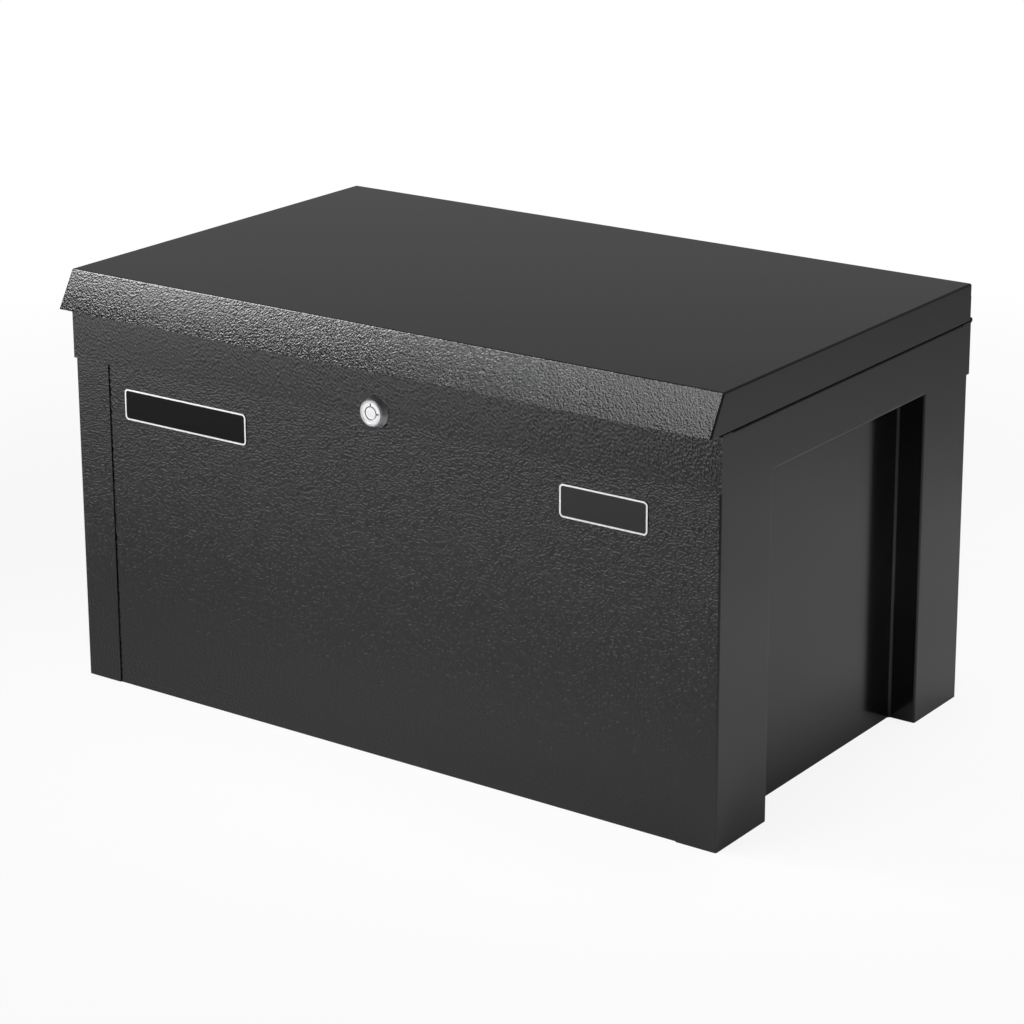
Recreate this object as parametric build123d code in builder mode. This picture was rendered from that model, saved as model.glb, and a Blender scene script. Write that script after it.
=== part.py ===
from build123d import *
from math import hypot
import os

os.makedirs("parts", exist_ok=True)

# A steel storage chest with a hinged lid, closed. Sizes are in millimetres.
# X runs to the right, Y to the back and Z up, from the middle of the flat underside.

# Body
width = 690.0
depth = 414.0
height = 389.4
sheet = 1.2
bend = 0.6
recess_bend = 3.0
corner_flange = 38.8
post_width = 78.0
recess_depth = 26.1
band_height = 48.0
band_lap = 26.0
rim_flange = 15.0
panel_lap = 18.0
shelf_fold = 6.0
floor_edge = 18.0
floor_edge_end = 8.0
floor_corner = 4.5
rib_length = 480.0
rib_width = 16.0
rib_height = 3.0
rib_count = 4
rib_slope = 30.0
rib_pitch = 84.0
seat_gap = 0.5

# Lid
lid_skirt = 33.6
lid_gap = 1.2
crease_inset = 2.0
lip_reach = 17.2
lip_flange = 8.0
lid_flange = 15.0
lid_bend = 1.8
brace_inset = 26.8
brace_reach = 24.8
brace_back_flange = 12.0
brace_end_gap = 5.0
stiffener_width = 34.0
stiffener_drop = 14.0
stiffener_flange = 12.0
stiffener_place = 185.0
stiffener_end_gap = 3.0

# Nameplates on the front, left bare
plate_height = 28.8
left_plate_width = 141.6
right_plate_width = 85.8
left_plate_inset = 18.9
right_plate_inset = 30.0
plate_drop = 19.9
plate_thickness = 0.6
plate_rim = 1.5
plate_rim_height = 0.3
plate_corner = 4.0

# Push lock in the front rail
lock_rise = 7.9
bezel_radius = 14.7
bezel_mouth_radius = 11.8
bezel_proud = 4.2
sleeve_radius = 11.9
barrel_radius = 10.75
barrel_proud = 5.0
barrel_length = 17.5
lock_travel = 6.0
collar_radius = 12.0
collar_step = 0.2
panel_hole_clearance = 0.4
running_fit = 0.05
housing_wall = 2.4
housing_end_wall = 1.2
housing_flange_width = 52.0
housing_flange_height = 31.0
housing_flange_thickness = 2.0
housing_flange_corner = 4.0
lock_stud_spacing = 40.0
lock_stud_radius = 2.0
lock_stud_tail = 6.0
lock_nut_across = 7.0
lock_nut_height = 3.2
groove_radius = 6.3
plug_radius = 5.3
groove_depth = 6.0
plug_body_length = 6.0
plug_recess = 0.3
key_notch_width = 1.3
key_notch_reach = 2.4
face_rim_width = 1.3
face_rim_height = 0.3
bolt_radius = 4.0
bolt_spigot_radius = 2.5
bolt_spigot_length = 3.0
bolt_chamfer = 1.0
bolt_gap = 1.5
spring_wire = 0.55
spring_radius = 8.5
spring_turns = 3
spring_solid = 4.0

# Striker on the lid
striker_width = 34.0
striker_thickness = 1.8
striker_below_bolt = 9.0
striker_corner = 4.5
striker_top_gap = 6.0
striker_hole_clearance = 0.6
striker_rivet_spacing = 18.0

# Continuous hinge behind the lid
hinge_end_gap = 1.0
knuckle_count = 23
knuckle_gap = 0.3
knuckle_radius = 2.5
hinge_pin_radius = 1.5
leaf_thickness = 1.0
leaf_height = 19.5
leaf_clear = 0.25
hinge_rivet_count = 12
hinge_rivet_drop = 12.0

# Blind rivets
rivet_radius = 1.6
rivet_hole_clearance = 0.05
rivet_head_radius = 3.0
rivet_head_height = 1.2
rivet_head_round = 0.7
rivet_bulb_radius = 2.6
rivet_bulb_length = 2.5

# Gas struts, one at each end
strut_standoff = 4.2
upper_forward = 50.0
upper_rise = 12.0
lower_forward = 130.0
lower_drop = 140.0
strut_radius = 7.5
strut_bore = 6.3
strut_end_wall = 2.0
strut_rest_gap = 6.0
gland_length = 8.0
rod_radius = 3.0
piston_length = 8.0
piston_gap = 4.0
end_radius = 6.5
end_width = 9.6
end_reach = 18.0
end_neck_radius = 4.0
ball_radius = 4.0
ball_clearance = 0.08
stud_neck_radius = 2.5
stud_mouth_radius = 3.4
stud_hex_across = 10.0
stud_hex_height = 3.0
stud_shank_radius = 2.9
stud_nut_height = 4.0
stud_tail = 1.0
open_pivot_gap = 0.4
bracket_thickness = 2.0
bracket_width = 34.0
bracket_height = 30.0
bracket_corner = 6.0
lid_bracket_foot = 18.0
lid_bracket_below = 9.0

# Rubber buffers between rim and lid
buffer_radius = 5.0
buffer_gap = 0.2
buffer_stem_radius = 2.5
buffer_bulb_radius = 3.4
buffer_bulb_length = 3.0
buffer_hole_clearance = 0.1
side_buffer_y = 150.0
front_buffer_x = 250.0

# Places worked out from the sizes above
half_width = width / 2
half_depth = depth / 2
lid_bottom = height - lid_skirt
rim_top = lid_bottom - lid_gap
band_bottom = rim_top - band_height
frame_half_width = half_width - sheet
frame_half_depth = half_depth - sheet
frame_top = band_bottom + band_lap
flange_edge = frame_half_width - corner_flange
recess_half = frame_half_depth - post_width
wall_x = frame_half_width - recess_depth
inner_wall_x = wall_x - sheet
panel_front = frame_half_depth - sheet
panel_back = panel_front - sheet
panel_half = flange_edge + panel_lap
lock_z = band_bottom + lock_rise
plate_z = band_bottom - plate_drop - plate_height / 2
left_plate_x = -(flange_edge - left_plate_inset - left_plate_width / 2)
right_plate_x = flange_edge - right_plate_inset - right_plate_width / 2
lid_back = half_depth - sheet
lid_under = height - sheet
flange_top = lid_bottom + sheet
striker_rivet_z = (flange_top + lid_under) / 2
hinge_y = half_depth + knuckle_radius
hinge_z = lid_bottom - lid_gap / 2
brace_front = -(half_depth - brace_inset)
brace_back = brace_front + sheet
barrel_face = -(half_depth + barrel_proud)
barrel_rear = barrel_face + barrel_length
housing_end = barrel_rear + lock_travel + spring_solid
housing_radius = collar_radius + running_fit + housing_wall
bolt_tip = brace_back - bolt_gap
upper_pivot = (hinge_y - upper_forward, hinge_z + upper_rise)
lower_pivot = (hinge_y - lower_forward, hinge_z - lower_drop)
strut_run = hypot(lower_pivot[0] - upper_pivot[0], lower_pivot[1] - upper_pivot[1])
strut_way = tuple((b - a) / strut_run for a, b in zip(upper_pivot, lower_pivot))
cylinder_end = strut_run - end_reach - strut_rest_gap
piston_start = end_reach + strut_end_wall + piston_gap
bracket_face = inner_wall_x - bracket_thickness
hex_face = bracket_face - stud_hex_height
strut_x = hex_face - strut_standoff - end_width / 2
side_buffer_x = half_width - lid_flange / 2
front_buffer_y = -half_depth + rim_flange / 2 + bend


def moved_left(path, amount):
    """The path moved to its left by an amount, with its corners kept sharp."""
    normals = []
    for (x0, y0), (x1, y1) in zip(path, path[1:]):
        run = hypot(x1 - x0, y1 - y0)
        normals.append((-(y1 - y0) / run, (x1 - x0) / run))
    moved = []
    for index, (x, y) in enumerate(path):
        before = normals[max(index - 1, 0)]
        after = normals[min(index, len(normals) - 1)]
        spread = 1 + before[0] * after[0] + before[1] * after[1]
        moved.append((x + amount * (before[0] + after[0]) / spread,
                      y + amount * (before[1] + after[1]) / spread))
    return moved


def turns_left(path, index):
    """Whether the path turns left at one of its points."""
    (x0, y0), (x1, y1), (x2, y2) = path[index - 1:index + 2]
    return (x1 - x0) * (y2 - y1) - (y1 - y0) * (x2 - x1) > 0


def bent_strip(path, bends, plane, thickness=sheet):
    """Section of a bent sheet: one face on the path, the other to its left.
    The bends are inside radii, one for each point between the ends."""
    other = moved_left(path, thickness)
    with BuildSketch(plane) as section:
        with BuildLine():
            Polyline(*path, *reversed(other), close=True)
        make_face()
        for index, inside in enumerate(bends, start=1):
            left = turns_left(path, index)
            for point, is_inside in ((path[index], not left), (other[index], left)):
                corner = section.vertices().sort_by_distance((*point, 0))[0]
                fillet(corner, inside if is_inside else inside + thickness)
    return section.sketch


def on_side(path, side):
    """The path of a right hand or rear sheet, or its mirror image for the other side."""
    if side > 0:
        return path
    return [(-across, along) for across, along in reversed(path)]


def block(low, high, mode=Mode.ADD):
    """A box between its low and its high corner."""
    middle = tuple((a + b) / 2 for a, b in zip(low, high))
    with Locations(middle):
        Box(*(b - a for a, b in zip(low, high)), mode=mode)


def bar(start, end, radius, mode=Mode.ADD):
    """A round bar between two points."""
    run = Vector(*end) - Vector(*start)
    with Locations(Plane(origin=start, z_dir=run)):
        Cylinder(radius, run.length, align=(Align.CENTER, Align.CENTER, Align.MIN), mode=mode)


def across_y(x, z, start, end, radius, mode=Mode.ADD):
    """A round bar along Y."""
    bar((x, start, z), (x, end, z), radius, mode)


def save(name, solid):
    """Labels a finished piece and writes its file."""
    solid.part.label = name
    export_step(solid.part, f"parts/{name}.step")


# Front and rear panels, set back behind the flanges and the rails' hems by one sheet
def flat_panel(side, name):
    with BuildPart() as panel:
        low, high = sorted((side * panel_front, side * panel_back))
        block((-panel_half, low, 0), (panel_half, high, frame_top))
        if side < 0:
            across_y(0, lock_z, low, high, sleeve_radius + panel_hole_clearance, Mode.SUBTRACT)
    save(name, panel)


flat_panel(-1, "front_panel")
flat_panel(1, "rear_panel")


# Side panels, each one sheet bent through flange, post, recess, post and flange.
# They stand inside the band, which laps over their tops
def side_panel(side, name):
    outline = [
        (flange_edge, -frame_half_depth),
        (frame_half_width, -frame_half_depth),
        (frame_half_width, -recess_half),
        (wall_x, -recess_half),
        (wall_x, recess_half),
        (frame_half_width, recess_half),
        (frame_half_width, frame_half_depth),
        (flange_edge, frame_half_depth),
    ]
    bends = [bend, bend, recess_bend, recess_bend, bend, bend]
    with BuildPart() as panel:
        extrude(bent_strip(on_side(outline, side), bends, Plane.XY), amount=frame_top)
    save(name, panel)


side_panel(1, "right_side_panel")
side_panel(-1, "left_side_panel")


# Rails of the band. The front and rear ones run the full width, and between the corner flanges
# their lower edge is folded up into a hem that the panel is welded to
def cross_rail(side, name, rivet_spots):
    outline = [
        (half_depth, band_bottom),
        (half_depth, rim_top),
        (half_depth - rim_flange, rim_top),
    ]
    hem_half = flange_edge - seat_gap
    with BuildPart() as rail:
        extrude(bent_strip(on_side(outline, side), [bend], Plane.YZ), amount=half_width, both=True)
        low, high = sorted((side * panel_front, side * frame_half_depth))
        block((-hem_half, low, band_bottom), (hem_half, high, frame_top))
        if side < 0:
            across_y(0, lock_z, -half_depth, -panel_front, sleeve_radius + panel_hole_clearance,
                     Mode.SUBTRACT)
            for x in (-front_buffer_x, front_buffer_x):
                bar((x, front_buffer_y, rim_top - sheet), (x, front_buffer_y, rim_top),
                    buffer_stem_radius + buffer_hole_clearance, Mode.SUBTRACT)
        for x, z in rivet_spots:
            across_y(x, z, frame_half_depth, half_depth, rivet_radius + rivet_hole_clearance,
                     Mode.SUBTRACT)
    save(name, rail)


hinge_length = width - 2 * hinge_end_gap
hinge_rivet_pitch = (hinge_length - 2 * hinge_rivet_drop) / (hinge_rivet_count - 1)
hinge_rivet_x = [-hinge_length / 2 + hinge_rivet_drop + hinge_rivet_pitch * i
                 for i in range(hinge_rivet_count)]
body_rivets = [(x, hinge_z - hinge_rivet_drop) for x in hinge_rivet_x]
lid_rivets = [(x, hinge_z + hinge_rivet_drop) for x in hinge_rivet_x]

cross_rail(-1, "front_rail", [])
cross_rail(1, "rear_rail", body_rivets)


# Side rails: over the recess the lower edge is folded in to a shelf that meets the recess wall
def side_rail(side, name):
    outline = [
        (half_width, band_bottom),
        (half_width, rim_top),
        (inner_wall_x, rim_top),
    ]
    shelf_outline = [
        (wall_x, band_bottom),
        (half_width, band_bottom),
        (half_width, band_bottom + shelf_fold),
    ]
    shelf_half = recess_half - seat_gap
    across = sorted((side * inner_wall_x, side * half_width))
    with BuildPart() as rail:
        extrude(bent_strip(on_side(outline, side), [bend], Plane.XZ), amount=frame_half_depth, both=True)
        block((across[0], -shelf_half, band_bottom), (across[1], shelf_half, band_bottom + shelf_fold),
              Mode.SUBTRACT)
        extrude(bent_strip(on_side(shelf_outline, side), [bend], Plane.XZ), amount=shelf_half, both=True)
        shelf_corners = [(side * wall_x, end * shelf_half, band_bottom) for end in (-1, 1)]
        fillet([edges().filter_by(Axis.Z).sort_by_distance(corner)[0] for corner in shelf_corners],
               recess_bend)
        for end in (-1, 1):
            notch = sorted((end * (half_depth - rim_flange), end * half_depth))
            block((across[0], notch[0], rim_top - sheet), (across[1], notch[1], rim_top), Mode.SUBTRACT)
            corner = sorted((end * (frame_half_depth - bend), end * frame_half_depth))
            block((across[0], corner[0], rim_top - sheet - bend), (across[1], corner[1], rim_top),
                  Mode.SUBTRACT)
            spot = (side * side_buffer_x, end * side_buffer_y)
            bar((*spot, rim_top - sheet), (*spot, rim_top), buffer_stem_radius + buffer_hole_clearance,
                Mode.SUBTRACT)
    save(name, rail)


side_rail(1, "right_rail")
side_rail(-1, "left_rail")

# Floor pan: its outline follows the walls, its edges turn up and its ribs are pressed up
with BuildPart() as floor_pan:
    with BuildSketch():
        Rectangle(2 * (frame_half_width - sheet), 2 * panel_back)
        chamfer(vertices(), floor_corner)
        with Locations((frame_half_width, 0), (-frame_half_width, 0)):
            Rectangle(2 * (recess_depth + sheet), 2 * (recess_half + sheet + bend), mode=Mode.SUBTRACT)
    extrude(amount=sheet)
    edge_half = flange_edge - floor_edge_end
    side_edge_half = recess_half - floor_edge_end
    for side in (-1, 1):
        low, high = sorted((side * panel_back, side * (panel_back - sheet)))
        block((-edge_half, low, 0), (edge_half, high, floor_edge))
        low, high = sorted((side * inner_wall_x, side * (inner_wall_x - sheet)))
        block((low, -side_edge_half, 0), (high, side_edge_half, floor_edge))
    rib_spots = [(0, rib_pitch * (i - (rib_count - 1) / 2)) for i in range(rib_count)]
    with BuildSketch(Plane.XY.offset(sheet)):
        with Locations(*rib_spots):
            SlotOverall(rib_length, rib_width)
    extrude(amount=rib_height, taper=rib_slope)
    with BuildSketch():
        with Locations(*rib_spots):
            SlotOverall(rib_length - sheet, rib_width - sheet)
    extrude(amount=rib_height, taper=rib_slope, mode=Mode.SUBTRACT)
save("floor_pan", floor_pan)


# Nameplates, bare inside a thin raised rim
def nameplate(name, x, plate_width):
    with BuildPart() as plate:
        with BuildSketch(Plane.XZ.offset(panel_front)):
            with Locations((x, plate_z)):
                RectangleRounded(plate_width, plate_height, plate_corner)
        extrude(amount=plate_thickness + plate_rim_height)
        with BuildSketch(Plane.XZ.offset(panel_front + plate_thickness)):
            with Locations((x, plate_z)):
                RectangleRounded(plate_width - 2 * plate_rim, plate_height - 2 * plate_rim,
                                 plate_corner - plate_rim)
        extrude(amount=plate_rim_height, mode=Mode.SUBTRACT)
    save(name, plate)


nameplate("left_nameplate", left_plate_x, left_plate_width)
nameplate("right_nameplate", right_plate_x, right_plate_width)

# Lock bezel: a tapered ring on the rail, stepped down to the panel below it, on a sleeve
bezel_face = -(half_depth + bezel_proud)
with BuildPart() as lock_bezel:
    with Locations(Plane(origin=(0, -half_depth, lock_z), z_dir=(0, -1, 0))):
        Cone(bezel_radius, bezel_mouth_radius, bezel_proud, align=(Align.CENTER, Align.CENTER, Align.MIN))
    across_y(0, lock_z, -half_depth, -panel_front, bezel_radius)
    block((-bezel_radius, -half_depth, band_bottom), (bezel_radius, -panel_front, lock_z + bezel_radius),
          Mode.SUBTRACT)
    across_y(0, lock_z, -half_depth, -panel_back, sleeve_radius)
    across_y(0, lock_z, bezel_face, -panel_back, barrel_radius + running_fit, Mode.SUBTRACT)
save("lock_bezel", lock_bezel)

# Lock housing behind the front panel, held on two welded studs
stud_spots = [-lock_stud_spacing / 2, lock_stud_spacing / 2]
flange_back = -panel_back + housing_flange_thickness
with BuildPart() as lock_housing:
    block((-housing_flange_width / 2, -panel_back, lock_z - housing_flange_height / 2),
          (housing_flange_width / 2, flange_back, lock_z + housing_flange_height / 2))
    fillet(edges().filter_by(Axis.Y), housing_flange_corner)
    across_y(0, lock_z, -panel_back, housing_end + housing_end_wall, housing_radius)
    across_y(0, lock_z, -panel_back, housing_end, collar_radius + running_fit, Mode.SUBTRACT)
    across_y(0, lock_z, housing_end, housing_end + housing_end_wall, bolt_radius + running_fit,
             Mode.SUBTRACT)
    for x in stud_spots:
        across_y(x, lock_z, -panel_back, flange_back, lock_stud_radius + panel_hole_clearance,
                 Mode.SUBTRACT)
save("lock_housing", lock_housing)

stud_end = flange_back + lock_nut_height + lock_stud_tail
with BuildPart() as lock_studs:
    for x in stud_spots:
        across_y(x, lock_z, -panel_back, stud_end, lock_stud_radius)
save("lock_studs", lock_studs)

with BuildPart() as lock_nuts:
    with BuildSketch(Plane.XZ.offset(-flange_back)):
        with Locations(*((x, lock_z) for x in stud_spots)):
            RegularPolygon(lock_nut_across / 2, 6, major_radius=False)
            Circle(lock_stud_radius + running_fit, mode=Mode.SUBTRACT)
    extrude(amount=-lock_nut_height)
save("lock_nuts", lock_nuts)

# Lock barrel: it slides in, and its face has a raised rim, a key groove and two notches
collar_front = -panel_back + collar_step
with BuildPart() as lock_barrel:
    across_y(0, lock_z, barrel_face, barrel_rear, barrel_radius)
    across_y(0, lock_z, collar_front, barrel_rear, collar_radius)
    across_y(0, lock_z, barrel_face, barrel_face + face_rim_height, barrel_radius - face_rim_width,
             Mode.SUBTRACT)
    across_y(0, lock_z, barrel_face, barrel_face + groove_depth + plug_body_length, groove_radius,
             Mode.SUBTRACT)
    across_y(0, lock_z, barrel_rear - bolt_spigot_length, barrel_rear,
             bolt_spigot_radius + running_fit, Mode.SUBTRACT)
    notch_end = groove_radius + key_notch_reach
    block((-key_notch_width / 2, barrel_face, lock_z),
          (key_notch_width / 2, barrel_face + groove_depth, lock_z + notch_end), Mode.SUBTRACT)
    block((0, barrel_face, lock_z - key_notch_width / 2),
          (notch_end, barrel_face + groove_depth, lock_z + key_notch_width / 2), Mode.SUBTRACT)
save("lock_barrel", lock_barrel)

with BuildPart() as lock_plug:
    across_y(0, lock_z, barrel_face + plug_recess, barrel_face + groove_depth, plug_radius)
    across_y(0, lock_z, barrel_face + groove_depth, barrel_face + groove_depth + plug_body_length,
             groove_radius - running_fit)
save("lock_plug", lock_plug)

with BuildPart() as lock_bolt:
    across_y(0, lock_z, barrel_rear - bolt_spigot_length, barrel_rear, bolt_spigot_radius)
    across_y(0, lock_z, barrel_rear, bolt_tip, bolt_radius)
    chamfer(edges().sort_by(Axis.Y)[-1], bolt_chamfer)
save("lock_bolt", lock_bolt)

spring_length = housing_end - barrel_rear - 2 * spring_wire
with BuildPart() as lock_spring:
    with BuildLine():
        coil = Helix(spring_length / spring_turns, spring_length, spring_radius,
                     center=(0, barrel_rear + spring_wire, lock_z), direction=(0, 1, 0))
    with BuildSketch(Plane(origin=coil @ 0, z_dir=coil % 0)):
        Circle(spring_wire)
    sweep()
save("lock_spring", lock_spring)


# Lid skin: top, sloped lip and skirts, with flanges turned in along the bottom
def lid_profile(inset):
    """Outline of the lid in the YZ plane, brought in by the inset."""
    lean = (crease_inset + lip_reach) / lid_skirt
    slope = hypot(1, lean) * inset
    return [
        (half_depth - inset, lid_bottom),
        (half_depth - inset, height - inset),
        (-half_depth + crease_inset + slope - lean * inset, height - inset),
        (-half_depth - lip_reach + slope, lid_bottom),
    ]


with BuildPart() as lid_skin:
    with BuildSketch(Plane.YZ):
        with BuildLine():
            Polyline(*lid_profile(0), close=True)
        make_face()
    extrude(amount=half_width, both=True)
    fillet(edges().group_by(Axis.Z)[1:], lid_bend)
    with BuildSketch(Plane.YZ):
        with BuildLine():
            Polyline(*lid_profile(sheet), close=True)
        make_face()
    extrude(amount=half_width - sheet, both=True, mode=Mode.SUBTRACT)
    lip_front = -(half_depth + lip_reach)
    lip_inner = lid_profile(sheet)[-1][0]
    block((-half_width + sheet, lip_inner, lid_bottom),
          (half_width - sheet, lip_front + lip_flange, flange_top))
    block((-half_width + sheet, lid_back - lid_flange + sheet, lid_bottom),
          (half_width - sheet, lid_back, flange_top))
    for side in (-1, 1):
        low, high = sorted((side * (half_width - lid_flange), side * (half_width - sheet)))
        block((low, lip_inner, lid_bottom), (high, lid_back, flange_top))
    for x, z in lid_rivets:
        across_y(x, z, lid_back, half_depth, rivet_radius + rivet_hole_clearance, Mode.SUBTRACT)
save("lid_skin", lid_skin)

# Brace along the front of the lid: it carries the striker and lands on the front buffers
brace_half = half_width - lid_flange - brace_end_gap
with BuildPart() as lid_front_brace:
    brace_outline = [
        (brace_back + brace_back_flange, lid_under),
        (brace_front, lid_under),
        (brace_front, flange_top),
        (brace_front - brace_reach, flange_top),
    ]
    extrude(bent_strip(brace_outline, [bend, bend], Plane.YZ), amount=brace_half, both=True)
    for x in (-striker_rivet_spacing / 2, striker_rivet_spacing / 2):
        across_y(x, striker_rivet_z, brace_front, brace_back, rivet_radius + rivet_hole_clearance,
                 Mode.SUBTRACT)
save("lid_front_brace", lid_front_brace)


# Hat section stiffeners under the lid, front to back
def lid_stiffener(side, name):
    inner = side * stiffener_place - stiffener_width / 2
    outer = inner + stiffener_width
    outline = [
        (outer + stiffener_flange, lid_under),
        (outer, lid_under),
        (outer, lid_under - stiffener_drop),
        (inner, lid_under - stiffener_drop),
        (inner, lid_under),
        (inner - stiffener_flange, lid_under),
    ]
    start = brace_back + brace_back_flange + stiffener_end_gap
    end = lid_back - stiffener_end_gap
    with BuildPart() as stiffener:
        extrude(bent_strip(outline, [bend] * 4, Plane.XZ.offset(-start)), amount=start - end)
    save(name, stiffener)


lid_stiffener(-1, "lid_left_stiffener")
lid_stiffener(1, "lid_right_stiffener")

# Striker: a plate on the back of the brace, with a hole for the bolt
with BuildPart() as lid_striker:
    block((-striker_width / 2, brace_back, lock_z - striker_below_bolt),
          (striker_width / 2, brace_back + striker_thickness, lid_under - sheet - striker_top_gap))
    fillet(edges().filter_by(Axis.Y).group_by(Axis.Z)[0], striker_corner)
    across_y(0, lock_z, brace_back, brace_back + striker_thickness, bolt_radius + striker_hole_clearance,
             Mode.SUBTRACT)
    for x in (-striker_rivet_spacing / 2, striker_rivet_spacing / 2):
        across_y(x, striker_rivet_z, brace_back, brace_back + striker_thickness,
                 rivet_radius + rivet_hole_clearance, Mode.SUBTRACT)
save("lid_striker", lid_striker)


# Blind rivets along Y: the head stands on one face, the bulb behind the other
def blind_rivets(name, spots, head_face, blind_face):
    with BuildPart() as rivets:
        for x, z in spots:
            across_y(x, z, head_face, head_face + rivet_head_height, rivet_head_radius)
        fillet(edges().filter_by(GeomType.CIRCLE).group_by(Axis.Y)[-1], rivet_head_round)
        for x, z in spots:
            across_y(x, z, blind_face, head_face, rivet_radius)
            across_y(x, z, blind_face - rivet_bulb_length, blind_face, rivet_bulb_radius)
    save(name, rivets)


striker_rivets = [(x, striker_rivet_z) for x in (-striker_rivet_spacing / 2, striker_rivet_spacing / 2)]
blind_rivets("striker_rivets", striker_rivets, brace_back + striker_thickness, brace_front)
blind_rivets("hinge_body_rivets", body_rivets, half_depth + leaf_thickness, frame_half_depth)
blind_rivets("hinge_lid_rivets", lid_rivets, half_depth + leaf_thickness, lid_back)


# Hinge leaves: side is 1 above the pin and -1 below it, and the knuckles take turns
def hinge_leaf(name, side, first, spots):
    pitch = hinge_length / knuckle_count
    near = hinge_z + side * (knuckle_radius + leaf_clear)
    far = near + side * leaf_height
    with BuildPart() as leaf:
        block((-hinge_length / 2, half_depth, min(near, far)),
              (hinge_length / 2, half_depth + leaf_thickness, max(near, far)))
        for i in range(first, knuckle_count, 2):
            start = -hinge_length / 2 + pitch * i + knuckle_gap / 2
            end = start + pitch - knuckle_gap
            block((start, half_depth, min(near, hinge_z)),
                  (end, half_depth + leaf_thickness, max(near, hinge_z)))
            bar((start, hinge_y, hinge_z), (end, hinge_y, hinge_z), knuckle_radius)
        bar((-half_width, hinge_y, hinge_z), (half_width, hinge_y, hinge_z),
            hinge_pin_radius + running_fit, Mode.SUBTRACT)
        for x, z in spots:
            across_y(x, z, half_depth, half_depth + leaf_thickness, rivet_radius + rivet_hole_clearance,
                     Mode.SUBTRACT)
    save(name, leaf)


hinge_leaf("hinge_body_leaf", -1, 0, body_rivets)
hinge_leaf("hinge_lid_leaf", 1, 1, lid_rivets)

with BuildPart() as hinge_pin:
    pin_half = hinge_length / 2 + hinge_end_gap / 2
    bar((-pin_half, hinge_y, hinge_z), (pin_half, hinge_y, hinge_z), hinge_pin_radius)
save("hinge_pin", hinge_pin)

# Rubber buffers pushed into the rim
buffer_spots = [(x, y) for x in (-side_buffer_x, side_buffer_x) for y in (-side_buffer_y, side_buffer_y)]
buffer_spots += [(x, front_buffer_y) for x in (-front_buffer_x, front_buffer_x)]
buffer_height = lid_gap - buffer_gap
with BuildPart() as rim_buffers:
    for spot in buffer_spots:
        bar((*spot, rim_top), (*spot, rim_top + buffer_height), buffer_radius)
    fillet(edges().filter_by(GeomType.CIRCLE).group_by(Axis.Z)[-1], buffer_height / 2)
    for spot in buffer_spots:
        bar((*spot, rim_top - sheet), (*spot, rim_top), buffer_stem_radius)
        bar((*spot, rim_top - sheet - buffer_bulb_length), (*spot, rim_top - sheet), buffer_bulb_radius)
save("rim_buffers", rim_buffers)


# Gas struts. Distances along a strut run from its upper pivot to its lower one
def on_strut(side, distance):
    return (side * strut_x, upper_pivot[0] + strut_way[0] * distance,
            upper_pivot[1] + strut_way[1] * distance)


def strut_head(side, distance, tip):
    """The eye of an end fitting and its neck, which runs to another place on the strut."""
    _, y, z = on_strut(side, distance)
    bar((side * strut_x - end_width / 2, y, z), (side * strut_x + end_width / 2, y, z), end_radius)
    bar(on_strut(side, distance), on_strut(side, tip), end_neck_radius)


def stud(side, pivot, tip, tail):
    """A stud along X through a bracket: shank, hexagon and neck."""
    y, z = pivot
    with BuildSketch(Plane(origin=(side * hex_face, y, z), z_dir=(side, 0, 0))) as hexagon:
        RegularPolygon(stud_hex_across / 2, 6, major_radius=False)
    extrude(hexagon.sketch, amount=stud_hex_height)
    bar((side * bracket_face, y, z), (side * tail, y, z), stud_shank_radius)
    bar((side * hex_face, y, z), (side * tip, y, z), stud_neck_radius)


def strut(side, hand):
    with BuildPart() as upper_end:
        strut_head(side, 0, end_reach)
        with Locations(on_strut(side, 0)):
            Sphere(ball_radius + ball_clearance, rotation=(0, 90, 0), mode=Mode.SUBTRACT)
        mouth = (side * (strut_x + end_width / 2), *upper_pivot)
        bar(on_strut(side, 0), mouth, stud_mouth_radius, Mode.SUBTRACT)
    save(f"{hand}_strut_upper_end", upper_end)

    with BuildPart() as cylinder:
        bar(on_strut(side, end_reach), on_strut(side, cylinder_end), strut_radius)
        bar(on_strut(side, end_reach + strut_end_wall), on_strut(side, cylinder_end), strut_bore,
            Mode.SUBTRACT)
    save(f"{hand}_strut_cylinder", cylinder)

    with BuildPart() as gland:
        start, end = on_strut(side, cylinder_end - gland_length), on_strut(side, cylinder_end)
        bar(start, end, strut_bore - running_fit)
        bar(start, end, rod_radius + running_fit, Mode.SUBTRACT)
    save(f"{hand}_strut_gland", gland)

    with BuildPart() as rod:
        bar(on_strut(side, piston_start), on_strut(side, strut_run - end_reach), rod_radius)
        bar(on_strut(side, piston_start), on_strut(side, piston_start + piston_length),
            strut_bore - 2 * running_fit)
    save(f"{hand}_strut_rod", rod)

    with BuildPart() as lower_end:
        strut_head(side, strut_run, strut_run - end_reach)
    save(f"{hand}_strut_lower_end", lower_end)


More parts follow.
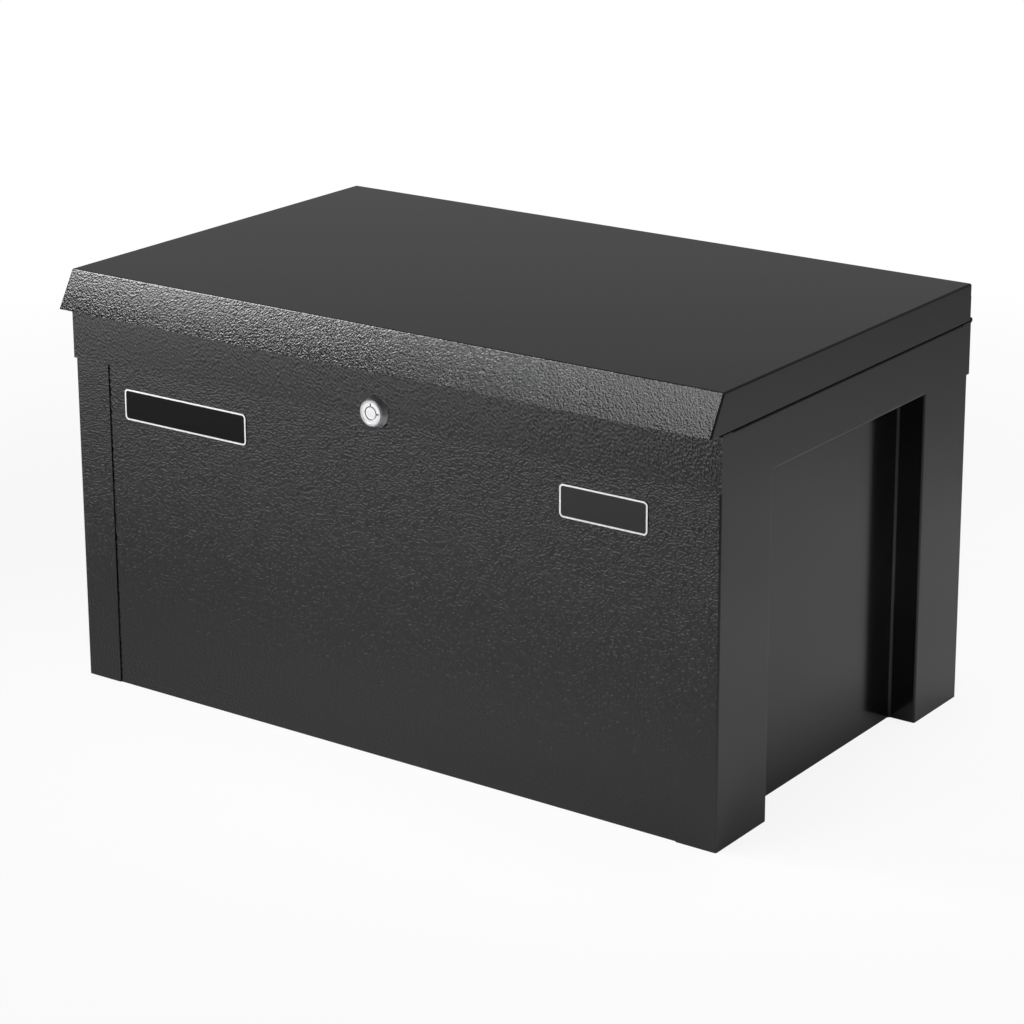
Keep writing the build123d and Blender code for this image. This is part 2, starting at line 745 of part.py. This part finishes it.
def strut_mounts(side, hand):
    with BuildPart() as upper_stud:
        stud(side, upper_pivot, strut_x, inner_wall_x + stud_nut_height + stud_tail)
        with Locations((side * strut_x, *upper_pivot)):
            Sphere(ball_radius, rotation=(0, 90, 0))
    save(f"{hand}_upper_stud", upper_stud)

    with BuildPart() as lower_stud:
        stud(side, lower_pivot, strut_x + end_width / 2 + open_pivot_gap, inner_wall_x)
    save(f"{hand}_lower_stud", lower_stud)

    with BuildPart() as body_bracket:
        y, z = lower_pivot
        near, far = sorted((side * bracket_face, side * inner_wall_x))
        block((near, y - bracket_width / 2, z - bracket_height / 2),
              (far, y + bracket_width / 2, z + bracket_height / 2))
        fillet(edges().filter_by(Axis.X), bracket_corner)
        bar((near, y, z), (far, y, z), stud_shank_radius + running_fit, Mode.SUBTRACT)
    save(f"{hand}_strut_bracket", body_bracket)

    with BuildPart() as lid_bracket:
        y, z = upper_pivot
        outline = [
            (bracket_face + lid_bracket_foot, lid_under),
            (bracket_face, lid_under),
            (bracket_face, z - lid_bracket_below),
        ]
        foot = bent_strip(on_side(outline, side), [bend], Plane.XZ.offset(bracket_width / 2 - y),
                          bracket_thickness)
        extrude(foot, amount=-bracket_width)
        bar((side * bracket_face, y, z), (side * inner_wall_x, y, z), stud_shank_radius + running_fit,
            Mode.SUBTRACT)
    save(f"{hand}_lid_bracket", lid_bracket)


for side, hand in ((-1, "left"), (1, "right")):
    strut(side, hand)
    strut_mounts(side, hand)

with BuildPart() as upper_stud_nuts:
    for side in (-1, 1):
        with BuildSketch(Plane(origin=(side * inner_wall_x, *upper_pivot), z_dir=(side, 0, 0))):
            RegularPolygon(stud_hex_across / 2, 6, major_radius=False)
            Circle(stud_shank_radius + running_fit, mode=Mode.SUBTRACT)
        extrude(amount=stud_nut_height)
save("upper_stud_nuts", upper_stud_nuts)
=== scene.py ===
from math import cos, pi, radians, sin

import bmesh
import bpy
from mathutils import Matrix, Vector


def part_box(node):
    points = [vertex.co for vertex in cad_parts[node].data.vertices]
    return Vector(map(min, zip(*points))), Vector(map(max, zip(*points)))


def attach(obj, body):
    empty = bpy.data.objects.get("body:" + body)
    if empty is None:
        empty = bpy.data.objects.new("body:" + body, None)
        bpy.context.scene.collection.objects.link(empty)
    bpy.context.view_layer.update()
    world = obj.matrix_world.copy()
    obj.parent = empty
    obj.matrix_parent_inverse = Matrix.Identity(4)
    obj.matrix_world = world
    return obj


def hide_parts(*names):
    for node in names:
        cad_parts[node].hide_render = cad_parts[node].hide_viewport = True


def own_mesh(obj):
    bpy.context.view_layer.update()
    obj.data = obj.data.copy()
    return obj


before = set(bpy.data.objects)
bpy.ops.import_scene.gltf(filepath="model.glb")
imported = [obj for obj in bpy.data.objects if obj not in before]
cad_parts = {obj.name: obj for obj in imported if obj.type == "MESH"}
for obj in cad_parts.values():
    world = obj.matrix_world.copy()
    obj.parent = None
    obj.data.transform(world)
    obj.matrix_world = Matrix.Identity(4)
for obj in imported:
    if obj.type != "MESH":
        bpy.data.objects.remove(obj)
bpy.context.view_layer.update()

MM = 0.001
HANDS = ("left", "right")

# Camera, fitted to the corners of the chest in a frame 1024 pixels wide and high
FRAME_PX = 1024
FOCAL_PX = 3113.0
CAMERA_PLACE = Vector((1.5609, -2.18171, 1.07785))
CAMERA_AZIMUTH = radians(35.6688)
CAMERA_ELEVATION = radians(15.9399)
CAMERA_ROLL = radians(-0.2464)
AXIS_ROW_PX = 360
SENSOR_MM = 36.0

# Powder paint, nearly black: the grey of the chest is what its gloss reflects
PAINT = "#0b0b0c"
PAINT_ROUGHNESS = 0.15
PEEL_GRAIN = 2.4 * MM
PEEL_DEPTH = 0.01 * MM

# Wrinkles of the hammered coat: their size along X, into the sheet and along Z, and their slant
FRONT_WRINKLE = (2.0 * MM, 2.0 * MM, 1.7 * MM)
LIP_WRINKLE = (2.2 * MM, 2.2 * MM, 1.35 * MM)
BAND_WRINKLE = (2.8 * MM, 2.8 * MM, 1.35 * MM)
LIP_SLANT = radians(33)
BAND_SLANT = radians(62)

# Depth of the wrinkles, and how far the lip and the band are bowed out
FRONT_RELIEF = 0.72 * MM
LIP_RELIEF = 0.21 * MM
LIP_CROWN = 0.24 * MM
BAND_BOW = 0.35 * MM

# Y of a face's normal where its wrinkles begin and where they are full
FRONT_FACING = (-0.8, -0.97)
LIP_FACING = (-0.5, -0.8)

# Distance behind the foremost edge where the wrinkles begin and where they are full
FRONT_SETBACK = (40 * MM, 30 * MM)
LIP_SETBACK = (60 * MM, 50 * MM)

# Heights from the rail's lower edge between which the front's wrinkles turn into the band's
BAND_EDGE = (-12 * MM, 16 * MM)

# The wrinkles deepen from a share of their depth to all of it: up the front between two heights, and along
# the band between two places from left to right, in metres
FRONT_FADE = (0.04, 0.26)
BAND_FADE = (-0.25, 0.0)
SHALLOW = 0.6

# Chrome and plates: distance behind a rim's face where its finish begins to end and where it has ended
RIM_END = (0.1 * MM, 0.2 * MM)
RIM_ROUGHNESS = 0.12
FACE_ROUGHNESS = 0.3
CHROME_GRAIN = 0.8 * MM
PLATE_GRAIN = 1.6 * MM
FINE_DEPTH = 0.004 * MM
PLATE_FIELD = "#050505"
PLATE_RIM = "#f5f5f5"

# Zinc, from the darker to the lighter grains of its spangle
ZINC_DARK = "#9a9c9c"
ZINC_LIGHT = "#bcbcb8"
ZINC_SPANGLE = 3 * MM

# Rings of the turned bezel: endless round it, and close along its axis
TURNING_MARK = (80 * MM, 0.4 * MM, 80 * MM)
TURNING_DEPTH = 0.08 * MM

# Coil spring behind the barrel: its wire's radius, its turns, the points of a turn, and how finely the wire
# is rounded
SPRING_WIRE = 0.55 * MM
SPRING_TURNS = 3
SPRING_STEPS = 24
SPRING_ROUNDING = 3

# Light of the studio's walls and ceiling, which meet between two sines of the angle above the horizon
WALL_LIGHT = 0.30
CEILING_LIGHT = 0.18
WALL_TOP = 0.18
CEILING_EDGE = 0.34

# Floor, and the share of its real shading that the camera sees, which fades to none between two distances
FLOOR_HALF = 6.0
FLOOR_COLOUR = "#f4f4f4"
SHADOW_SHARE = 0.12
SHADOW_NEAR = 0.6
SHADOW_FAR = 1.6

# Where the two lamps that light the lip are aimed
LIP_SPOT = (0, -0.22, 0.37)


def linear(code):
    """An sRGB hex colour as linear red, green, blue and alpha."""
    parts = [int(code[i:i + 2], 16) / 255 for i in (1, 3, 5)]
    return (*(v / 12.92 if v <= 0.04045 else ((v + 0.055) / 1.055) ** 2.4 for v in parts), 1.0)


def add(tree, kind, inputs=(), **settings):
    """Adds a node to a tree. Each input is a value, or the output of another node."""
    made = tree.nodes.new("ShaderNode" + kind)
    for name, value in settings.items():
        setattr(made, name, value)
    for name, value in dict(inputs).items():
        if isinstance(value, bpy.types.NodeSocket):
            tree.links.new(value, made.inputs[name])
        else:
            made.inputs[name].default_value = value
    return made


def new_finish(name, colour, metallic, roughness):
    """A new material with its shader set, its node tree and its shader."""
    made = bpy.data.materials.new(name)
    made.use_nodes = True
    tree = made.node_tree
    shader = tree.nodes["Principled BSDF"]
    shader.inputs["Base Color"].default_value = linear(colour)
    shader.inputs["Metallic"].default_value = metallic
    shader.inputs["Roughness"].default_value = roughness
    return made, tree, shader


def roughen(tree, shader, place, size, depth, detail=1.0):
    """Raises an even grain on a finish, of a size and a depth in metres."""
    grain = add(tree, "TexNoise", {"Vector": place, "Scale": 1 / size, "Detail": detail})
    relief = add(tree, "Bump", {"Height": grain.outputs["Fac"], "Distance": depth, "Strength": 1.0})
    tree.links.new(relief.outputs["Normal"], shader.inputs["Normal"])


def stretched_grain(tree, place, size, slant=0.0, detail=1.0):
    """Heights of a grain with a size of its own along X, Y and Z, turned by a slant about Y."""
    turned = add(tree, "Mapping", {"Vector": place, "Scale": size, "Rotation": (0, slant, 0)},
                 vector_type="TEXTURE")
    grain = add(tree, "TexNoise", {"Vector": turned.outputs["Vector"], "Scale": 1.0, "Detail": detail})
    return grain.outputs["Fac"]


def bowed_out(tree, up, low, high, rise, heights):
    """The heights on a sheet that is bowed out between two levels. The rise is in depths of the relief."""
    across = add(tree, "MapRange", {"Value": up, "From Min": low, "From Max": high, "To Min": -1.0,
                                    "To Max": 1.0})
    sag = add(tree, "Math", {0: across.outputs["Result"], 1: across.outputs["Result"]},
              operation="MULTIPLY")
    bow = add(tree, "Math", {0: sag.outputs[0], 1: -rise, 2: heights}, operation="MULTIPLY_ADD")
    return bow.outputs[0]


def front_mask(tree, spot, facing, limits, edge, setback):
    """One where a sheet looks to the front and lies near its foremost edge, nought where it doesn't."""
    looking = add(tree, "MapRange", {"Value": facing.outputs["Y"], "From Min": limits[0],
                                     "From Max": limits[1]})
    near = add(tree, "MapRange", {"Value": spot.outputs["Y"], "From Min": edge + setback[0],
                                  "From Max": edge + setback[1]})
    mask = add(tree, "Math", {0: looking.outputs["Result"], 1: near.outputs["Result"]},
               operation="MULTIPLY")
    return mask.outputs[0]


def hammered_front_coat():
    """Hammered powder coat, sprayed and baked: the black resin draws together as it flows and sets in small
    wrinkles, longer across than high, that break the gloss into sparks. On the band round the top they
    stand steep. They are shallower low down on the front and on the left of the band. Bends and sides are
    smooth."""
    coat, tree, shader = new_finish("hammered_powder_coat", PAINT, 0.0, PAINT_ROUGHNESS)
    coords = add(tree, "TexCoord")
    place = coords.outputs["Object"]
    spot = add(tree, "SeparateXYZ", {"Vector": place})
    facing = add(tree, "SeparateXYZ", {"Vector": coords.outputs["Normal"]})
    rail_low, rail_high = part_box("front_rail")
    front = front_mask(tree, spot, facing, FRONT_FACING, rail_low[1], FRONT_SETBACK)
    on_band = add(tree, "MapRange", {"Value": spot.outputs["Z"], "From Min": rail_low[2] + BAND_EDGE[0],
                                     "From Max": rail_low[2] + BAND_EDGE[1]})
    front_depth = add(tree, "MapRange", {"Value": spot.outputs["Z"], "From Min": FRONT_FADE[0],
                                         "From Max": FRONT_FADE[1], "To Min": SHALLOW, "To Max": 1.0})
    band_depth = add(tree, "MapRange", {"Value": spot.outputs["X"], "From Min": BAND_FADE[0],
                                        "From Max": BAND_FADE[1], "To Min": SHALLOW, "To Max": 1.0})
    flat = add(tree, "Math", {0: stretched_grain(tree, place, FRONT_WRINKLE, detail=0.0),
                              1: front_depth.outputs["Result"]}, operation="MULTIPLY")
    steep = add(tree, "Math", {0: stretched_grain(tree, place, BAND_WRINKLE, BAND_SLANT, detail=0.0),
                               1: band_depth.outputs["Result"]}, operation="MULTIPLY")
    band = bowed_out(tree, spot.outputs["Z"], rail_low[2], rail_high[2], BAND_BOW / FRONT_RELIEF,
                     steep.outputs[0])
    either = add(tree, "Mix", {"Factor": on_band.outputs["Result"], "A": flat.outputs[0], "B": band})
    height = add(tree, "Math", {0: either.outputs["Result"], 1: front}, operation="MULTIPLY")
    relief = add(tree, "Bump", {"Height": height.outputs[0], "Distance": FRONT_RELIEF, "Strength": 1.0})
    tree.links.new(relief.outputs["Normal"], shader.inputs["Normal"])
    return coat


def hammered_lip_coat():
    """The same coat on the bent lid: on the lip its wrinkles cross on two slants and are narrower, and the
    lip is pressed slightly round from its crease to its lower edge. The top and the skirts are smooth."""
    coat, tree, shader = new_finish("hammered_lip_powder_coat", PAINT, 0.0, PAINT_ROUGHNESS)
    coords = add(tree, "TexCoord")
    place = coords.outputs["Object"]
    spot = add(tree, "SeparateXYZ", {"Vector": place})
    facing = add(tree, "SeparateXYZ", {"Vector": coords.outputs["Normal"]})
    lid_low, lid_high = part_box("lid_skin")
    lip = front_mask(tree, spot, facing, LIP_FACING, lid_low[1], LIP_SETBACK)
    crossed = add(tree, "Math", {0: stretched_grain(tree, place, LIP_WRINKLE, -LIP_SLANT),
                                 1: stretched_grain(tree, place, LIP_WRINKLE, LIP_SLANT)},
                  operation="ADD")
    crowned = bowed_out(tree, spot.outputs["Z"], lid_low[2], lid_high[2], LIP_CROWN / LIP_RELIEF,
                        crossed.outputs[0])
    height = add(tree, "Math", {0: crowned, 1: lip}, operation="MULTIPLY")
    relief = add(tree, "Bump", {"Height": height.outputs[0], "Distance": LIP_RELIEF, "Strength": 1.0})
    tree.links.new(relief.outputs["Normal"], shader.inputs["Normal"])
    return coat


def satin_coat():
    """Plain powder coat on the back, the floor, the end rails, the hinge and the fittings inside: half
    gloss, with the faint orange peel that the powder keeps where it has flowed out."""
    coat, tree, shader = new_finish("satin_powder_coat", PAINT, 0.0, PAINT_ROUGHNESS)
    roughen(tree, shader, add(tree, "TexCoord").outputs["Object"], PEEL_GRAIN, PEEL_DEPTH)
    return coat


def chrome_plate():
    """Bright chrome on the turned barrel and plug of the lock: a polished rim round a satin face, both
    nearly white. The rods of the struts are satin all over."""
    plate, tree, shader = new_finish("chrome_plate", "#e4e4e6", 1.0, RIM_ROUGHNESS)
    place = add(tree, "TexCoord").outputs["Object"]
    spot = add(tree, "SeparateXYZ", {"Vector": place})
    rim_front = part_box("lock_barrel")[0][1]
    satin = add(tree, "MapRange", {"Value": spot.outputs["Y"], "From Min": rim_front + RIM_END[0],
                                   "From Max": rim_front + RIM_END[1], "To Min": RIM_ROUGHNESS,
                                   "To Max": FACE_ROUGHNESS})
    tree.links.new(satin.outputs["Result"], shader.inputs["Roughness"])
    roughen(tree, shader, place, CHROME_GRAIN, FINE_DEPTH)
    return plate


def black_nickel():
    """Black nickel on the turned bezel of the lock: darker than chrome and softly bright. The fine rings
    that the turning tool left draw its highlights out along the bezel."""
    plate, tree, shader = new_finish("black_nickel", "#8a8a8c", 1.0, 0.3)
    rings = stretched_grain(tree, add(tree, "TexCoord").outputs["Object"], TURNING_MARK)
    relief = add(tree, "Bump", {"Height": rings, "Distance": TURNING_DEPTH, "Strength": 1.0})
    tree.links.new(relief.outputs["Normal"], shader.inputs["Normal"])
    return plate


def zinc_plate():
    """Zinc plate, passivated, on the small steel parts: grey, with a faint spangle."""
    plate, tree, shader = new_finish("zinc_plate", ZINC_DARK, 1.0, 0.42)
    place = add(tree, "TexCoord").outputs["Object"]
    spangle = add(tree, "TexNoise", {"Vector": place, "Scale": 1 / ZINC_SPANGLE, "Detail": 3.0})
    tone = add(tree, "MixRGB", {"Fac": spangle.outputs["Fac"], "Color1": linear(ZINC_DARK),
                                "Color2": linear(ZINC_LIGHT)})
    tree.links.new(tone.outputs["Color"], shader.inputs["Base Color"])
    return plate


def stamped_plate(name, node, field_gloss):
    """Stamped aluminium plate: its raised rim is cut bright, and its bare field is printed black, dead matt
    on one plate and with a little gloss on the other."""
    plate, tree, shader = new_finish(name, PLATE_FIELD, 0.0, 0.3)
    shader.inputs["Specular IOR Level"].default_value = field_gloss
    place = add(tree, "TexCoord").outputs["Object"]
    spot = add(tree, "SeparateXYZ", {"Vector": place})
    rim_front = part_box(node)[0][1]
    rim = add(tree, "MapRange", {"Value": spot.outputs["Y"], "From Min": rim_front + RIM_END[1],
                                 "From Max": rim_front + RIM_END[0]})
    tone = add(tree, "MixRGB", {"Fac": rim.outputs["Result"], "Color1": linear(PLATE_FIELD),
                                "Color2": linear(PLATE_RIM)})
    tree.links.new(tone.outputs["Color"], shader.inputs["Base Color"])
    tree.links.new(rim.outputs["Result"], shader.inputs["Metallic"])
    roughen(tree, shader, place, PLATE_GRAIN, FINE_DEPTH)
    return plate


def moulded(name, colour, roughness, size, depth):
    """The finish of a moulded black part, dulled by the grain of its mould."""
    made, tree, shader = new_finish(name, colour, 0.0, roughness)
    roughen(tree, shader, add(tree, "TexCoord").outputs["Object"], size, depth, detail=2.0)
    return made


def dress(material, *names):
    """Gives CAD nodes a material."""
    for name in names:
        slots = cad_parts[name].data.materials
        slots.clear()
        slots.append(material)


hammered = hammered_front_coat()
lip_coat = hammered_lip_coat()
satin = satin_coat()
chrome = chrome_plate()
nickel = black_nickel()
zinc = zinc_plate()
matt_plate = stamped_plate("stamped_plate_matt_field", "left_nameplate", 0.12)
gloss_plate = stamped_plate("stamped_plate_gloss_field", "right_nameplate", 0.5)
# Glass filled nylon, moulded: dull black with a fine spark eroded grain
nylon = moulded("moulded_nylon", "#161616", 0.55, 0.5 * MM, 0.02 * MM)
# Nitrile rubber, moulded: matt black with a fine grain
rubber = moulded("moulded_rubber", "#141414", 0.75, 0.7 * MM, 0.015 * MM)

dress(hammered, "front_panel", "front_rail", *(f"{hand}_side_panel" for hand in HANDS))
dress(lip_coat, "lid_skin")
dress(satin, "rear_panel", "rear_rail", "floor_pan", "lid_front_brace", "hinge_body_leaf",
      "hinge_lid_leaf", "hinge_pin", "lid_left_stiffener", "lid_right_stiffener")
for hand in HANDS:
    dress(satin, f"{hand}_rail", f"{hand}_strut_bracket", f"{hand}_lid_bracket", f"{hand}_strut_cylinder")
    dress(chrome, f"{hand}_strut_rod")
    dress(nylon, f"{hand}_strut_upper_end", f"{hand}_strut_lower_end")
    dress(zinc, f"{hand}_lower_stud", f"{hand}_upper_stud", f"{hand}_strut_gland")
dress(chrome, "lock_barrel", "lock_plug")
dress(nickel, "lock_bezel")
dress(zinc, "lock_bolt", "lock_housing", "lock_studs", "lock_nuts", "lid_striker", "striker_rivets",
      "hinge_body_rivets", "hinge_lid_rivets", "upper_stud_nuts")
dress(matt_plate, "left_nameplate")
dress(gloss_plate, "right_nameplate")
dress(rubber, "rim_buffers")


def coil_spring():
    """The spring that pushes the barrel out again, wound from zinc plated wire."""
    low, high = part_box("lock_spring")
    middle = (Vector(low) + Vector(high)) / 2
    radius = (high[0] - low[0]) / 2 - SPRING_WIRE
    front, rear = low[1] + SPRING_WIRE, high[1] - SPRING_WIRE
    curve = bpy.data.curves.new("coil", "CURVE")
    curve.dimensions = "3D"
    curve.bevel_depth = SPRING_WIRE
    curve.bevel_resolution = SPRING_ROUNDING
    curve.use_fill_caps = True
    wire = curve.splines.new("POLY")
    last = SPRING_TURNS * SPRING_STEPS
    wire.points.add(last)
    for step, point in enumerate(wire.points):
        turn = 2 * pi * step / SPRING_STEPS
        along = front + (rear - front) * step / last
        point.co = (middle.x + radius * cos(turn), along, middle.z + radius * sin(turn), 1)
    wound = bpy.data.objects.new("coil", curve)
    bpy.context.scene.collection.objects.link(wound)
    bpy.context.view_layer.update()
    mesh = bpy.data.meshes.new_from_object(wound.evaluated_get(bpy.context.evaluated_depsgraph_get()))
    bpy.data.objects.remove(wound)
    mesh.shade_smooth()
    mesh.materials.clear()
    mesh.materials.append(zinc)
    spring = bpy.data.objects.new("lock_spring_coil", mesh)
    bpy.context.scene.collection.objects.link(spring)
    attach(spring, "chest")
    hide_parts("lock_spring")
    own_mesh(spring)


def make_floor():
    """A pale floor that reads as white and keeps a faint shadow round the chest."""
    mesh = bpy.data.meshes.new("floor")
    shape = bmesh.new()
    bmesh.ops.create_grid(shape, x_segments=1, y_segments=1, size=FLOOR_HALF)
    shape.to_mesh(mesh)
    shape.free()
    floor = bpy.data.objects.new("floor", mesh)
    bpy.context.scene.collection.objects.link(floor)
    paint, tree, shader = new_finish("pale_floor", FLOOR_COLOUR, 0.0, 0.9)
    shader.inputs["Specular IOR Level"].default_value = 0.0
    place = add(tree, "TexCoord").outputs["Object"]
    away = add(tree, "VectorMath", {0: place}, operation="LENGTH")
    shown = add(tree, "MapRange", {"Value": away.outputs["Value"], "From Min": SHADOW_NEAR,
                                   "From Max": SHADOW_FAR, "To Min": 1.0 - SHADOW_SHARE, "To Max": 1.0})
    path = add(tree, "LightPath")
    direct = add(tree, "Math", {0: path.outputs["Is Camera Ray"], 1: path.outputs["Is Transmission Ray"]},
                 operation="MAXIMUM")
    share = add(tree, "Math", {0: direct.outputs[0], 1: shown.outputs["Result"]}, operation="MULTIPLY")
    white = add(tree, "Emission", {"Color": (1, 1, 1, 1), "Strength": 1.0})
    mixed = add(tree, "MixShader", {0: share.outputs[0], 1: shader.outputs[0], 2: white.outputs[0]})
    tree.links.new(mixed.outputs[0], tree.nodes["Material Output"].inputs["Surface"])
    mesh.materials.append(paint)


def make_world():
    """A backdrop that is white to the camera and through glass, and the dim walls and ceiling of a studio
    to all other rays."""
    world = bpy.data.worlds.new("studio")
    bpy.context.scene.world = world
    world.use_nodes = True
    tree = world.node_tree
    walls = tree.nodes["Background"]
    walls.inputs["Color"].default_value = (1, 1, 1, 1)
    up = add(tree, "SeparateXYZ", {"Vector": add(tree, "TexCoord").outputs["Generated"]}).outputs["Z"]
    lit = add(tree, "MapRange", {"Value": up, "From Min": WALL_TOP, "From Max": CEILING_EDGE,
                                 "To Min": WALL_LIGHT, "To Max": CEILING_LIGHT})
    tree.links.new(lit.outputs["Result"], walls.inputs["Strength"])
    path = add(tree, "LightPath")
    direct = add(tree, "Math", {0: path.outputs["Is Camera Ray"], 1: path.outputs["Is Transmission Ray"]},
                 operation="MAXIMUM")
    white = add(tree, "Background", {"Color": (1, 1, 1, 1), "Strength": 1.0})
    mixed = add(tree, "MixShader", {0: direct.outputs[0], 1: walls.outputs[0], 2: white.outputs[0]})
    tree.links.new(mixed.outputs[0], tree.nodes["World Output"].inputs["Surface"])


def softbox(name, place, target, size, watts, spread=180):
    """A soft light, as wide and high as its size says, that faces a point."""
    data = bpy.data.lights.new(name, "AREA")
    data.shape = "RECTANGLE"
    data.size, data.size_y = size
    data.energy = watts
    data.spread = radians(spread)
    lamp = bpy.data.objects.new(name, data)
    lamp.location = place
    lamp.visible_camera = False
    lamp.rotation_euler = (Vector(target) - Vector(place)).to_track_quat("-Z", "Y").to_euler()
    bpy.context.scene.collection.objects.link(lamp)


def make_camera():
    """The camera, turned to its azimuth, elevation and roll."""
    level = cos(CAMERA_ELEVATION)
    ahead = Vector((-sin(CAMERA_AZIMUTH) * level, cos(CAMERA_AZIMUTH) * level, -sin(CAMERA_ELEVATION)))
    right = ahead.cross(Vector((0, 0, 1))).normalized()
    up = right.cross(ahead)
    rolled_right = cos(CAMERA_ROLL) * right + sin(CAMERA_ROLL) * up
    rolled_up = cos(CAMERA_ROLL) * up - sin(CAMERA_ROLL) * right
    data = bpy.data.cameras.new("camera")
    data.sensor_width = SENSOR_MM
    data.lens = SENSOR_MM * FOCAL_PX / FRAME_PX
    data.shift_y = (AXIS_ROW_PX - FRAME_PX / 2) / FRAME_PX
    camera = bpy.data.objects.new("camera", data)
    turn = Matrix((rolled_right, rolled_up, -ahead)).transposed()
    camera.matrix_world = Matrix.Translation(CAMERA_PLACE) @ turn.to_4x4()
    bpy.context.scene.collection.objects.link(camera)
    bpy.context.scene.camera = camera


coil_spring()
make_floor()
make_world()
# From the left front and above, towards the lip
softbox("key", (-1.30, -0.78, 1.47), LIP_SPOT, (0.75, 0.8), 2.7, spread=50)
softbox("second", (-0.48, -1.27, 1.48), LIP_SPOT, (0.9, 0.8), 1.2, spread=50)
# Level, on the front
softbox("low_strip", (-0.62, -1.18, 0.28), (0.05, 0, 0.28), (1.7, 0.5), 5.3)
# Straight down: on the whole lid, on its right rear corner, and on the floor beyond that
softbox("overhead", (0, 0, 1.9), (0, 0, 0), (1.2, 1.2), 0.6, spread=110)
softbox("pool", (0.38, 0.22, 1.9), (0.38, 0.22, 0), (0.6, 0.6), 1.25, spread=45)
softbox("far_right", (1.4, 0.9, 1.6), (1.4, 0.9, 0), (0.8, 0.8), 2.0, spread=100)
make_camera()
bpy.context.scene.view_settings.view_transform = "Standard"
